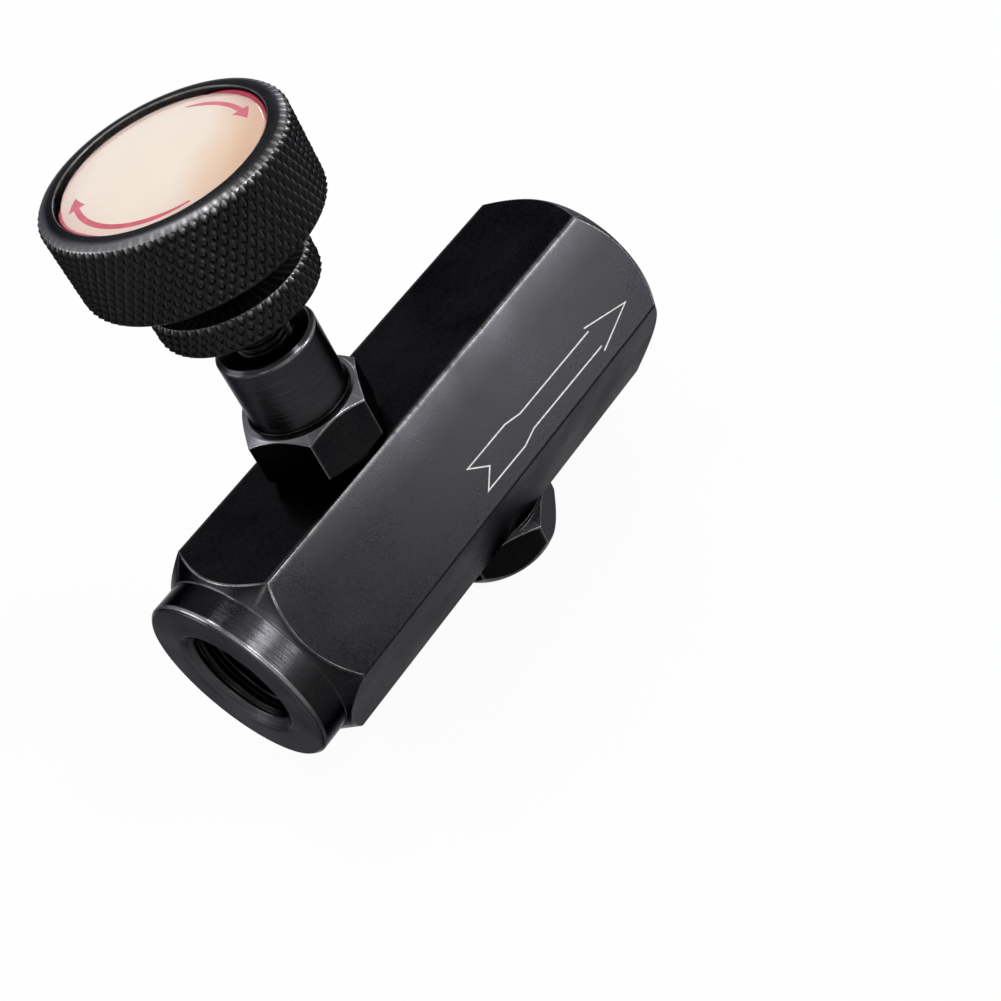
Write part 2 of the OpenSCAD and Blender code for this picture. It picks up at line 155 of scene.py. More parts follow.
def roundedOutline(count, corners, cuts, steps=4):
    # Outline through the corners. Each is cut off at its own distance, at most 0.4 of the side, and bridged
    # by the quadratic curve with the corner as its middle control point. A row a little further off on each
    # side ends the bend's wear. A cut of 0 keeps the corner. Returns the rows, and 1 on bends.
    corners = perColumn(count, corners)
    rows, bends = [], []
    for k, cut in enumerate(cuts):
        corner = corners[:, k]
        if cut == 0:
            rows.append(corner)
            bends.append(0)
            continue
        sides = [corners[:, (k + step) % len(cuts)] - corner for step in (-1, 1)]
        lengths = [np.maximum(np.linalg.norm(side, axis=1, keepdims=True), 1e-9) for side in sides]
        reach = np.minimum(cut, 0.4 * np.minimum(*lengths))
        start, end = [corner + side / length * reach for side, length in zip(sides, lengths)]
        before, after = [corner + side / length * np.minimum(1.8 * reach, 0.46 * length)
                         for side, length in zip(sides, lengths)]
        curve = [(1 - t) ** 2 * start + 2 * t * (1 - t) * corner + t * t * end
                 for t in np.linspace(0, 1, steps + 1)]
        rows += [before, *curve, after]
        bends += [0] + [1] * len(curve) + [0]
    return np.stack(rows, 1), np.array(bends, float)


def evenAngles(count):
    # Angles of a whole turn in equal steps
    return turn * np.arange(count) / count


def hexagon(s, even=30):
    # Angles round a hexagon in even steps, with a close group over each rounded corner. The radius there is
    # the arc of the fillet round a point on the corner's ray, and elsewhere half the width over the cosine of
    # the angle from the flat's normal. The third result falls off from 1 at a corner as a bell curve.
    centre = (s["across"] / 2 - s["fillet"]) / np.cos(turn / 12)
    edge = np.arctan2(s["fillet"] / 2, centre + s["fillet"] * np.cos(turn / 12))
    group = edge * np.array([-3, -1.6, -1, -0.66, -0.33, 0, 0.33, 0.66, 1, 1.6, 3])
    steps = np.linspace(-turn / 12, turn / 12, even, endpoint=False)
    sector = np.sort(np.concatenate([steps[np.abs(steps) > 3.5 * edge], group]))
    corners = s["facing"] + turn / 12 + np.arange(6) * turn / 6
    angle = (corners[:, None] + sector).ravel()
    fromCorner = np.mod(angle - s["facing"], turn / 6) - turn / 12
    reach = np.maximum(s["fillet"] ** 2 - (centre * np.sin(fromCorner)) ** 2, 0)
    arc = centre * np.cos(fromCorner) + np.sqrt(reach)
    flat = s["across"] / 2 / np.cos(turn / 12 - np.abs(fromCorner))
    radius = np.where(np.abs(fromCorner) < edge, arc, flat)
    return angle, radius, np.exp(-(fromCorner / (1.1 * edge)) ** 2)


def byAngle(angle, table):
    # Value for each column from a table of values at angles in degrees, with straight lines between them
    return np.interp(np.degrees(np.mod(angle, turn)), list(table), list(table.values()))[:, None]


def threadRows(angle, start, end, s, hand=1, perTurn=8, fade=0.6, steep=2.6):
    # Rows along a thread. The radius follows a triangle wave of height over pitch less angle over a turn,
    # with its tips cut flat, and fades to the middle of its two radii at both ends.
    pitch = hand * s["threadPitch"]
    depth = s["threadOuter"] - s["threadInner"]
    count = int(abs(end - start) / abs(pitch) * perTurn)
    height = np.linspace(start, end, count + 1)[None, 1:-1]
    phase = np.mod(height / pitch - angle[:, None] / turn, 1)
    wave = np.clip(steep * np.abs(2 * phase - 1) - (steep - 1) / 2, 0, 1)
    near = np.minimum(np.abs(height - start), np.abs(height - end)) / (fade * abs(pitch))
    near = np.clip(near, 0, 1)
    radius = s["threadInner"] + depth * (wave * near + (1 - near) / 2)
    return np.stack([radius, np.broadcast_to(height, radius.shape)], -1)


def aboutZ(angle, outline, x=0.0):
    # Each column of an outline of radius and height, turned to its own angle round an upright axis
    radius, height = outline[..., 0], outline[..., 1]
    return np.stack([x + radius * np.cos(angle)[:, None], radius * np.sin(angle)[:, None], height], -1)


def aboutX(angle, outline):
    # The same round the body's own axis
    radius, along = outline[..., 0], outline[..., 1]
    return np.stack([along, radius * np.cos(angle)[:, None], radius * np.sin(angle)[:, None]], -1)


def readVectors(rows, key, count):
    # One vector for each row of mesh data
    values = np.empty(3 * count)
    rows.foreach_get(key, values)
    return values.reshape(-1, 3)


def readNumbers(rows, key):
    # One whole number for each row of mesh data
    values = np.empty(len(rows), np.int32)
    rows.foreach_get(key, values)
    return values


def hollow(piece, cutters):
    # Takes closed shapes out of a closed piece. Each point carries its normal through the cut, and a face's
    # corner takes it where it lies within 60 degrees of the face's own normal, or of its opposite on a
    # cutter's wall.
    for shape in (piece, *cutters):
        owner = readNumbers(shape.data.loops, "vertex_index")
        facing = np.zeros((len(shape.data.vertices), 3))
        facing[owner] = readVectors(shape.data.corner_normals, "vector", len(owner))
        layer = shape.data.attributes.new("facing", "FLOAT_VECTOR", "POINT")
        layer.data.foreach_set("vector", facing.ravel())
    for cutter in cutters:
        cut = piece.modifiers.new(cutter.name, "BOOLEAN")
        cut.operation, cut.solver, cut.object = "DIFFERENCE", "MANIFOLD", cutter
    mesh = bpy.data.meshes.new_from_object(piece.evaluated_get(bpy.context.evaluated_depsgraph_get()))
    piece.modifiers.clear()
    piece.data = mesh
    for cutter in cutters:
        bpy.data.objects.remove(cutter)
    owner = readNumbers(mesh.loops, "vertex_index")
    corners = readNumbers(mesh.polygons, "loop_total")
    plain = np.repeat(readVectors(mesh.polygons, "normal", len(corners)), corners, axis=0)
    facing = readVectors(mesh.attributes["facing"].data, "vector", len(mesh.vertices))[owner]
    match = (facing * plain).sum(1, keepdims=True)
    normals = np.where(np.abs(match) > 0.5, facing * np.sign(match), plain)
    mesh.attributes.remove(mesh.attributes["facing"])
    mesh.polygons.foreach_set("use_smooth", np.ones(len(corners), bool))
    mesh.normals_split_custom_set(normals.tolist())
    return piece


def dress(piece, body, material, node=None):
    # Puts a finished piece on its body, in place of its CAD node, without the empty slot that a cut leaves
    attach(piece, body)
    if node:
        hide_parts(node)
    piece.data.materials.clear()
    piece.data.materials.append(material)


# Finishes

def feed(node, inputs):
    # Links each input that is given a socket and sets the others to their values, a colour with its alpha
    for key, value in inputs.items():
        socket = node.inputs[key]
        if isinstance(value, bpy.types.NodeSocket):
            node.id_data.links.new(value, socket)
        else:
            socket.default_value = (*value, 1) if socket.type == "RGBA" else value
    return node


def addNode(tree, kind, inputs, **settings):
    # A new node with its settings and its inputs
    made = tree.nodes.new(kind)
    for key, value in settings.items():
        setattr(made, key, value)
    return feed(made, inputs)


def finish(name):
    # A new material with its shader and its object coordinates
    material = bpy.data.materials.new(name)
    material.use_nodes = True
    place = addNode(material.node_tree, "ShaderNodeTexCoord", {}).outputs["Object"]
    return material, material.node_tree.nodes["Principled BSDF"], place


def noise(place, scale, detail, stretch=(1, 1, 1), roughness=0.55):
    # Noise with features of one over scale metres, stretched along the axes
    mapping = addNode(place.id_data, "ShaderNodeMapping", {"Vector": place, "Scale": stretch})
    inputs = {"Vector": mapping.outputs["Vector"], "Scale": scale, "Detail": detail, "Roughness": roughness}
    return addNode(place.id_data, "ShaderNodeTexNoise", inputs).outputs["Fac"]


def spread(value, toLow=0.0, toHigh=1.0, fromLow=0.3, fromHigh=0.7):
    # A value carried from one range to another and kept inside it. Most of a noise lies from 0.3 to 0.7.
    inputs = {"Value": value, "From Min": fromLow, "From Max": fromHigh, "To Min": toLow, "To Max": toHigh}
    return addNode(value.id_data, "ShaderNodeMapRange", inputs).outputs["Result"]


def combine(how, one, two):
    # Arithmetic on two values, of which the second may be a plain number
    return addNode(one.id_data, "ShaderNodeMath", {0: one, 1: two}, operation=how).outputs[0]


def blendColour(share, one, two):
    # Colour between two, by a share
    inputs = {"Factor": share, 6: one, 7: two}
    return addNode(share.id_data, "ShaderNodeMix", inputs, data_type="RGBA").outputs[2]


def bump(height, strength, depth, **under):
    # Normal tilted by the slope of a height so many metres deep, on the surface's own or the one under it
    inputs = {"Height": height, "Strength": strength, "Distance": depth, **under}
    return addNode(height.id_data, "ShaderNodeBump", inputs).outputs["Normal"]


def blackOxide(name, look):
    # Oiled black oxide on steel. The skin is dark to light by clouds plus grain. Where the rub layer is high
    # it turns greyer, in streaks along the machining lines; that layer holds real rub and also painted sheen
    # where light falls. Where the wear layer times the scuffs is high it is bare steel; on the knurled teeth
    # and the bonnet's neck rim that layer is partly a painted glint.
    material, shader, place = finish(name)
    wear, rubAndSheen, turned = [
        addNode(material.node_tree, "ShaderNodeAttribute", {}, attribute_name=layer).outputs["Fac"]
        for layer in ("wear", "rubAndSheen", "turned")]
    clouds = noise(place, look["cloudScale"], 4)
    grain = noise(place, look["grainScale"], 2)
    lines = noise(place, look["lineScale"], 2, look["lineStretch"])
    scuffs = noise(place, look["scuffScale"], 5, look["scuffStretch"], 0.7)
    worn = combine("MULTIPLY", wear, spread(scuffs, *look["scuffRange"]))
    specks = spread(noise(place, look["speckScale"], 2), 0, 1, *look["speckRange"])
    worn = combine("MAXIMUM", worn, combine("MULTIPLY", specks, look["specks"]))
    mottle = combine("ADD", spread(clouds, 0, 0.5), spread(grain, 0, 0.5))
    skin = blendColour(mottle, look["dark"], look["light"])
    streaks = combine("MULTIPLY", spread(lines, -look["streaks"], look["streaks"]), turned)
    # Rub colour: real rub, and painted sheen where the rub layer stands in for light
    skin = blendColour(combine("MULTIPLY", rubAndSheen, combine("ADD", streaks, 1.0)), skin, look["rubAndSheenColour"])
    colour = blendColour(combine("MULTIPLY", worn, look["wear"]), skin, look["bare"])
    rough = combine("ADD", spread(clouds, *look["rough"]), spread(grain, *look["grainRough"]))
    rough = combine("ADD", rough, combine("MULTIPLY", turned, look["turnedRough"]))
    relief = bump(grain, look["grainBump"], look["grainDepth"])
    relief = bump(combine("MULTIPLY", lines, turned), look["lineBump"], look["lineDepth"], Normal=relief)
    feed(shader, {"Base Color": colour, "Roughness": rough, "Metallic": 1.0, "Specular Tint": look["grazing"],
                  "Normal": relief})
    return material


bodyLook = {
    "cloudScale": 120, "grainScale": 3800, "grainBump": 0.2, "grainDepth": 0.00003,
    "lineScale": 9000, "lineStretch": (1, 0.02, 0.02), "lineBump": 0.5, "lineDepth": 0.00004, "streaks": 0.4,
    "scuffScale": 700, "scuffStretch": (1, 0.35, 0.35), "scuffRange": (0.25, 1, 0.32, 0.56),
    "speckScale": 1600, "speckRange": (0.74, 0.8), "specks": 0.012, "wear": 0.6,
    "dark": (0.0048, 0.0048, 0.0062), "light": (0.014, 0.014, 0.0146), "bare": (0.36, 0.35, 0.36),
    "rubAndSheenColour": (0.22, 0.222, 0.238), "grazing": (0.41, 0.41, 0.42),
    "rough": (0.245, 0.355), "grainRough": (-0.03, 0.03), "turnedRough": -0.075,
}
turnedLook = {**bodyLook, "lineStretch": (0.02, 0.02, 1), "cloudScale": 160}
# Painted shade: the plug's copy of the turned finish has a darker skin, as the plug sits in shade under the
# body
shadedPlugLook = {**turnedLook, "wear": 0.25, "dark": (0.0022, 0.0022, 0.0026), "light": (0.006, 0.006, 0.0064)}
gripLook = {
    **bodyLook, "lineStretch": (0.02, 0.02, 1), "lineBump": 0.3, "rough": (0.27, 0.38), "turnedRough": -0.03,
    "wear": 0.9, "specks": 0.0, "dark": (0.008, 0.008, 0.009), "light": (0.019, 0.019, 0.02),
    "bare": (0.5, 0.49, 0.49),
}
bodyFinish = blackOxide("blackOxideBar", bodyLook)
turnedFinish = blackOxide("blackOxideTurned", turnedLook)
shadedPlugFinish = blackOxide("shadedBlackOxidePlug", shadedPlugLook)
gripFinish = blackOxide("blackKnurl", gripLook)


def plainFinish(name, colour, roughLow, roughHigh, metallic=1.0, scale=3000):
    # Metal, rubber or plastic: colour in patches, down to a fifth darker, and a grain in gloss and relief
    material, shader, place = finish(name)
    grain = noise(place, scale, 3)
    dark = tuple(0.8 * value for value in colour)
    feed(shader, {"Base Color": blendColour(spread(noise(place, 260, 4)), dark, colour),
                  "Roughness": spread(grain, roughLow, roughHigh), "Metallic": metallic,
                  "Normal": bump(grain, 0.3, 0.00002)})
    return material


stemFinish = plainFinish("darkStemSteel", (0.016, 0.016, 0.018), 0.28, 0.42)
poppetFinish = plainFinish("groundSteel", (0.42, 0.43, 0.44), 0.24, 0.38)
zincFinish = plainFinish("zincPlate", (0.6, 0.6, 0.57), 0.26, 0.4)
rubberFinish = plainFinish("sealRubber", (0.018, 0.018, 0.019), 0.54, 0.68, 0.0, 4000)
backingFinish = plainFinish("backingPlastic", (0.78, 0.76, 0.7), 0.39, 0.53, 0.0, 2500)
print("finishes made")


# Body: hexagonal bar with a threaded port at each end and a turned collar round the inlet

barSizes = {
    "across": 24.0, "fillet": 0.34, "facing": turn / 4, "faceRadius": 11.6, "margin": 0.3,
    "coneSlope": np.tan(np.radians(48)), "collarRadius": 11.5, "collarLength": 3.8, "collarEdge": 0.4,
    "mouthRadius": 7.4, "lip": 0.98, "lipDepth": 0.05, "threadOuter": 6.56, "threadInner": 5.86,
    "threadPitch": 1.337, "portDepth": 14.0, "runOut": 1.2, "pointSlope": np.tan(np.radians(59)),
    "bends": [0, 0.12, 0.08, 0.16, 0.04, 0.06, 0.1, 0.1, 0.15, 0.12, 0],
    "edgeWear": {60: 0.5, 120: 0.6, 180: 0.04, 240: 0.4, 300: 0.5, 360: 0.4},
    # Painted sheen: a lighter rub along the top of the forward flat, where light falls on it
    "upperFacePaintedSheen": {118: 0, 119.5: 0.045, 122: 0.03, 130: 0.01, 138: 0, 360: 0},
    "nearWear": {0: 0.4, 55: 0.5, 70: 0.7, 100: 0.75, 114: 0.9, 120: 1, 124: 0.9, 130: 0.2, 180: 0.1,
                 240: 0.4, 300: 0.5, 360: 0.4},
    "farWear": {0: 0.3, 60: 0.2, 118: 0.15, 122: 0.4, 136: 0.35, 150: 0.12, 178: 0.1, 240: 0.3, 360: 0.3},
    "collarWear": {0: 0.4, 60: 0.6, 95: 1, 135: 1, 160: 0.6, 185: 0.15, 250: 0.3, 320: 0.5, 360: 0.4},
    # Painted highlight: rub on the collar's side over the angles of the lamp's band, with the real turning
    # streaks
    "collarPaintedHighlight": {0: 0.02, 108: 0.01, 115: 0.16, 142: 0.18, 155: 0.08, 168: 0.01, 360: 0.02},
    "faceRub": 0.14,
}


def makeBody(s):
    # Outline turned round the body's axis: the near port's drill point, thread and countersink, the collar,
    # the hexagon and the far port. A cone cuts each end of the hexagon, as deep as its slope times the radius
    # past the face's. Wear follows the bends and the hexagon's corners. The rub layer paints a highlight band
    # on the collar's side and sheen on the top of the forward flat.
    angle, radius, corner = hexagon(s, 40)
    count = len(angle)
    cone = (radius - s["faceRadius"]) * s["coneSlope"]
    mouth = s["mouthRadius"] - s["threadOuter"]
    lipRadius, lipDepth = s["threadOuter"] * s["lip"], mouth + s["lipDepth"]
    point = s["portDepth"] + s["threadInner"] / s["pointSlope"]
    drill = perColumn(count, [(0, point), (s["threadInner"], s["portDepth"])])
    threadStart = s["portDepth"] - s["runOut"]
    port, farPort = [np.concatenate([drill, threadRows(angle, threadStart, mouth, s, hand)], 1)
                     for hand in (1, -1)]
    farPort = farPort[:, ::-1] * [1, -1] + [0, bodyLength]
    hexStart, hexEnd = s["collarLength"] + cone, bodyLength - cone
    outer = [
        (lipRadius, lipDepth), (s["mouthRadius"], 0), (s["collarRadius"] - s["collarEdge"], 0),
        (s["collarRadius"], s["collarEdge"]), (s["collarRadius"], s["collarLength"]),
        (s["faceRadius"], s["collarLength"]), (radius, hexStart), (radius, hexEnd),
        (s["faceRadius"], bodyLength), (s["mouthRadius"], bodyLength), (lipRadius, bodyLength - lipDepth)]
    rows, bends = roundedOutline(count, outer, s["bends"])
    away, along = rows[..., 0], rows[..., 1]
    hexFrom, hexTo = hexStart[:, None] - s["margin"], hexEnd[:, None] + s["margin"]
    onHex = (along > hexFrom) & (along < hexTo) & (away > s["collarRadius"] + s["margin"])
    onCollar = along < s["collarLength"] - s["margin"]
    side = away > s["collarRadius"] - 0.5 * s["collarEdge"]
    endWear = np.where(along < bodyLength / 2, byAngle(angle, s["nearWear"]), byAngle(angle, s["farWear"]))
    edges = bends * side * np.where(onCollar, byAngle(angle, s["collarWear"]), endWear)
    # Painted highlight band on the collar's side; the collar's face gets an even rub
    collarPaintedHighlight = byAngle(angle, s["collarPaintedHighlight"]) * (along < hexFrom)
    rubAndSheen = np.where(side, collarPaintedHighlight, s["faceRub"] * onCollar)
    layers = {
        "wear": np.maximum(edges, onHex * corner[:, None] * byAngle(angle, s["edgeWear"])),
        # Rub layer: painted sheen on the forward flat, a painted highlight on the collar's side, an even rub
        # on the collar's face
        "rubAndSheen": np.where(onHex, byAngle(angle, s["upperFacePaintedSheen"]), rubAndSheen),
        "turned": np.where(onHex & (bends < 1), 0, 1),
    }
    ends = ((0, 0), (port.shape[1], farPort.shape[1]))
    layers = {key: np.pad(values, ends) for key, values in layers.items()}
    outline = np.concatenate([port, rows, farPort], 1)
    return gridPiece("valveBodyShell", aboutX(angle, outline), layers=layers)


boreSizes = {
    "boreRadius": 6.0, "threadEnd": 6.95, "glandRadius": 5.65, "glandLow": 5.6, "seatHeight": 1.0,
    "past": 1.0, "needleChamber": 3.9, "checkChamber": 4.2, "needleSeat": 1.75, "checkSeat": 2.5,
    "passageRadius": 2.0, "passageHeight": 3.0, "sides": 64,
}


def makeBores(s, portDepth):
    # Cutters for the two screwed bores, the two seats and the two passages: outlines turned about Z or X
    angle = evenAngles(s["sides"])

    def turned(name, place, side, outline):  # round an upright axis, above or below the body's own
        return gridPiece(name, aboutZ(angle, perColumn(s["sides"], outline) * [1, side], place))

    def along(name, start, end, height):  # cylinder in the body's direction
        outline = [(0, start), (s["passageRadius"], start), (s["passageRadius"], end), (0, end)]
        return gridPiece(name, aboutX(angle, perColumn(s["sides"], outline)) + [0, 0, height])

    def bore(chamber):  # thread, gland and chamber, down to the seat's face
        top = flatZ + s["past"]
        return [(0, top), (s["boreRadius"], top), (s["boreRadius"], s["threadEnd"]),
                (s["glandRadius"], s["threadEnd"]), (s["glandRadius"], s["glandLow"]),
                (chamber, s["glandLow"]), (chamber, s["seatHeight"]), (0, s["seatHeight"])]

    def hole(radius):  # from the passage's height to past the seat's face
        low, high = -s["passageHeight"], s["seatHeight"] + s["past"]
        return [(0, low), (radius, low), (radius, high), (0, high)]

    return [
        turned("bonnetBore", needleX, 1, bore(s["needleChamber"])),
        turned("plugBore", checkX, -1, bore(s["checkChamber"])),
        turned("needleHole", needleX, 1, hole(s["needleSeat"])),
        turned("checkHole", checkX, -1, hole(s["checkSeat"])),
        along("lowPassage", portDepth, checkX, -s["passageHeight"]),
        along("highPassage", needleX, bodyLength - portDepth, s["passageHeight"])]


bodyShell = hollow(makeBody(barSizes), makeBores(boreSizes, barSizes["portDepth"]))
dress(bodyShell, "housing", bodyFinish, "valve_body")
print("body made")


# Bonnet and plug: turned pieces with a hexagon

bonnetSizes = {
    "across": 13.1, "fillet": 0.16, "facing": np.radians(18), "hexHeight": 7.0, "washerHeight": 0.6,
    "faceInset": 0.2, "topSlope": np.tan(np.radians(36)), "lowSlope": np.tan(np.radians(30)),
    "shankRadius": 5.95, "chamfer": 0.4, "neckRadius": 5.55, "neckEdge": 0.5, "boreRadius": 3.55,
    "boreDepth": 10.5, "stemBore": 3.05, "margin": 0.12,
    "bends": [0.1, 0.1, 0.1, 0.05, 0.1, 0.05, 0.12, 0.12, 0.1, 0.25, 0.14, 0.1, 0.08, 0.08, 0.05, 0.05],
    "edgeWear": {0: 0.3, 120: 0.3, 150: 0.1, 225: 0.1, 240: 0.7, 300: 0.9, 330: 0.4, 360: 0.3},
    # Real wear on the neck rim, and a painted glint: its bare line is brightest on the side where light
    # catches it
    "cornerWear": 0.45, "rimWearAndGlint": {0: 0.3, 120: 0.15, 225: 0.1, 250: 0.5, 300: 0.7, 330: 0.4, 360: 0.3},
    # Painted sheen: the cone's rub is lighter at the angles where light falls on it, over an even rub; the
    # neck's rub is even
    "coneRubAndSheen": {0: 0.25, 90: 0.25, 150: 0.6, 215: 0.6, 240: 0.35, 300: 0.45, 360: 0.25}, "neckRub": 0.07,
}


def makeBonnet(s):
    # Closed outline turned round the needle's axis: shank, washer face, hexagon, neck and stepped bore. The
    # hexagon's faces end on cones, whose height changes by their slope times the radius past the washer's.
    angle, radius, corner = hexagon(s)
    washer, chamfer = s["across"] / 2 - s["faceInset"], s["chamfer"]
    hexTop, top, low = flatZ + s["hexHeight"], bonnetHigh[2], bonnetLow[2]
    stop = low + s["boreDepth"]
    topDrop = hexTop - (radius - washer) * s["topSlope"]
    lowRise = flatZ + s["washerHeight"] + (radius - washer) * s["lowSlope"]
    outer = [
        (s["boreRadius"], low), (s["shankRadius"] - chamfer, low), (s["shankRadius"], low + chamfer),
        (s["shankRadius"], flatZ), (washer, flatZ), (washer, flatZ + s["washerHeight"]), (radius, lowRise),
        (radius, topDrop), (washer, hexTop), (s["neckRadius"], hexTop),
        (s["neckRadius"], top - s["neckEdge"]), (s["neckRadius"] - s["neckEdge"], top),
        (s["stemBore"] + chamfer, top), (s["stemBore"], top - chamfer), (s["stemBore"], stop),
        (s["boreRadius"], stop)]
    rows, bends = roundedOutline(len(angle), outer, s["bends"])
    away, height = rows[..., 0], rows[..., 1]
    onHex = (away > washer + s["margin"]) & (height > flatZ) & (height < hexTop)
    edges = bends * onHex * (height > flatZ + s["hexHeight"] / 2) * byAngle(angle, s["edgeWear"])
    neckRim = bends * (np.abs(height - top + s["neckEdge"]) < 0.2) * byAngle(angle, s["rimWearAndGlint"])
    cone = (away > s["neckRadius"] + 0.3) & (height > np.minimum(topDrop, hexTop - 0.05)[:, None] + 0.02)
    neck = (away > s["neckRadius"] - 0.6) & (height > hexTop + 0.3)
    return gridPiece("bonnetShell", aboutZ(angle, rows, needleX), closedRows=True, layers={
        "wear": np.maximum.reduce([edges, neckRim, onHex * corner[:, None] * s["cornerWear"]]),
        "rubAndSheen": cone * byAngle(angle, s["coneRubAndSheen"]) + neck * s["neckRub"],
        "turned": np.where(onHex & (bends < 1), 0, 1)})


dress(makeBonnet(bonnetSizes), "housing", turnedFinish, "bonnet")

plugSizes = {
    "across": 15.1, "fillet": 0.18, "facing": 0.0, "washerHeight": 0.5, "faceInset": 0.2, "chamfer": 0.4,
    "endSlope": np.tan(np.radians(55)), "lowSlope": np.tan(np.radians(30)), "shankRadius": 5.95,
    "cupRadius": 4.55, "cupFloor": -14.5, "dimple": 0.9, "dimpleSlope": 0.6, "margin": 0.12,
    "bends": [0, 0.1, 0.1, 0.1, 0.1, 0.05, 0.1, 0.05, 0.12, 0.14, 0.1, 0.05, 0], "wear": 0.8,
    # Painted sheen: the rub lightens one flat of the hexagon where light falls, and evenly the cone next to
    # the body
    "oneFlatPaintedSheen": {0: 0.01, 200: 0, 268: 0, 272: 0.22, 328: 0.22, 332: 0.02, 360: 0.01}, "coneRubAndSheen": 0.12,
}


def makePlug(s):
    # Outline turned round the poppet's axis: cup, shank, washer face, hexagon and end with its dimple. Both
    # cones are cut as the bonnet's are.
    angle, radius, corner = hexagon(s)
    washer, chamfer = s["across"] / 2 - s["faceInset"], s["chamfer"]
    end, top = plugLow[2], plugHigh[2]
    endRise = end + (radius - washer) * s["endSlope"]
    lowDrop = -flatZ - s["washerHeight"] - (radius - washer) * s["lowSlope"]
    outer = [
        (0, s["cupFloor"]), (s["cupRadius"], s["cupFloor"]), (s["cupRadius"], top),
        (s["shankRadius"] - chamfer, top), (s["shankRadius"], top - chamfer), (s["shankRadius"], -flatZ),
        (washer, -flatZ), (washer, -flatZ - s["washerHeight"]), (radius, lowDrop), (radius, endRise),
        (washer, end), (s["dimple"], end), (0, end + s["dimple"] * s["dimpleSlope"])]
    rows, bends = roundedOutline(len(angle), outer, s["bends"])
    away, height = rows[..., 0], rows[..., 1]
    onHex = (away > washer + s["margin"]) & (height < -flatZ)
    cone = (away > washer - 0.1) & (height > lowDrop[:, None] - 0.02) & (height < -flatZ)
    return gridPiece("plugShell", aboutZ(angle, rows, checkX), layers={
        "wear": onHex * np.maximum(bends, corner[:, None]) * s["wear"],
        "rubAndSheen": np.where(cone, s["coneRubAndSheen"], onHex * byAngle(angle, s["oneFlatPaintedSheen"])),
        "turned": np.where(onHex & (bends < 1), 0, 1)})


dress(makePlug(plugSizes), "housing", shadedPlugFinish, "check_plug")
print("bonnet and plug made")


# Knurled grips: the knob and the lock ring

knurlSizes = {
    "pitch": 1.1, "lean": np.radians(30), "depth": 0.35, "edge": 0.4, "steps": 8, "tip": 0.8,
    "offset": 0.125, "edgeReach": 1.3, "tipFrom": 0.95, "tipWear": 0.08,
}


def knurledSide(radius, low, high, s, edgeRows=4):
    # Diamond knurl. Two families of grooves run round as helices, and the height is the lesser of their two
    # triangle waves, with the tips cut flat. Grid steps and groove crossings coincide, so that grooves run
    # along the quads' diagonals. Conical chamfers cut the diamonds between two crossings. Returns the angles,
    # the rows, which diagonal cuts each quad, and the wear.
    diamonds = int(round(turn * radius / s["pitch"]))
    levels = int(round(2 * (high - low - 2 * s["edge"]) * np.tan(s["lean"]) / s["pitch"]))
    columns = diamonds * s["steps"]
    step = (high - low - 2 * s["edge"]) / (levels * s["steps"] / 2)
    cone = np.linspace(0, s["edge"], edgeRows + 1)
    middle = low + s["edge"] + step * np.arange(levels * s["steps"] // 2 + 1)
    height = np.concatenate([low + cone[:-1], middle, high - cone[-2::-1]])
    across = np.arange(columns)[:, None] / s["steps"]
    along = ((height - low - s["edge"]) / step / s["steps"] + s["offset"])[None]
    waves = [1 - np.abs(2 * np.mod(across + sign * along, 1) - 1) for sign in (1, -1)]
    relief = np.minimum(np.minimum(*waves), s["tip"]) / s["tip"]
    conical = radius - s["edge"] + np.minimum(height - low, high - height)[None]
    side = np.minimum(radius - s["depth"] * (1 - relief), conical)
    one, two = [0.5 * (wave[:, :-1] + np.roll(wave, -1, 0)[:, 1:]) for wave in waves]
    topEdge = np.clip((height - (high - s["edgeReach"] * s["edge"])) / s["edge"], 0, 1)[None]
    wear = np.maximum(relief * topEdge, s["tipWear"] * (relief > s["tipFrom"]))
    return evenAngles(columns), np.stack([side, np.broadcast_to(height, side.shape)], -1), one < two, wear


def knurledPiece(name, angle, rows, cut, layers):
    # Knurled side and smooth rows as one closed surface about the needle's axis, split along the grooves
    split = np.pad(cut, ((0, 0), (0, rows.shape[1] - cut.shape[1])))
    return gridPiece(name, aboutZ(angle, rows, needleX), closedRows=True, layers=layers, split=split)


knobSizes = {
    "recessRadius": 10.9, "recessDepth": 1.8, "crown": 0.38, "crownSteps": ((0.55, 0.4), (0.95, 0.2)),
    "crownWidth": 0.3, "pocketRadius": 3.25, "pocketDepth": 2.8, "boreRadius": 2.35, "flatAt": 1.706,
    "hubRadius": 3.3, "hubDepth": 1.0, "landWidth": 1.0, "rimRows": 2, "rimWidth": 0.6,
    "bends": [0, 0, 0, 0.14, 0.1, 0.1, 0.05, 0.05, 0.05, 0.05, 0.15, 0],
    # Painted sheen: the crown's rub is lightest on the near side, where light falls on it
    "crownRubAndSheen": {0: 0.05, 100: 0.1, 130: 0.3, 180: 0.5, 225: 0.5, 245: 0.15, 280: 0.06, 360: 0.05},
    "topRub": 0.05,
    # Real wear on the tooth tips, and painted glints: it is brightest at the angles where light catches the
    # teeth
    "toothWearAndGlints": {0: 0.5, 60: 0.3, 120: 0.3, 200: 0.4, 222: 0.9, 310: 1.0, 340: 0.6, 360: 0.5},
    "topWear": 0.25,
}


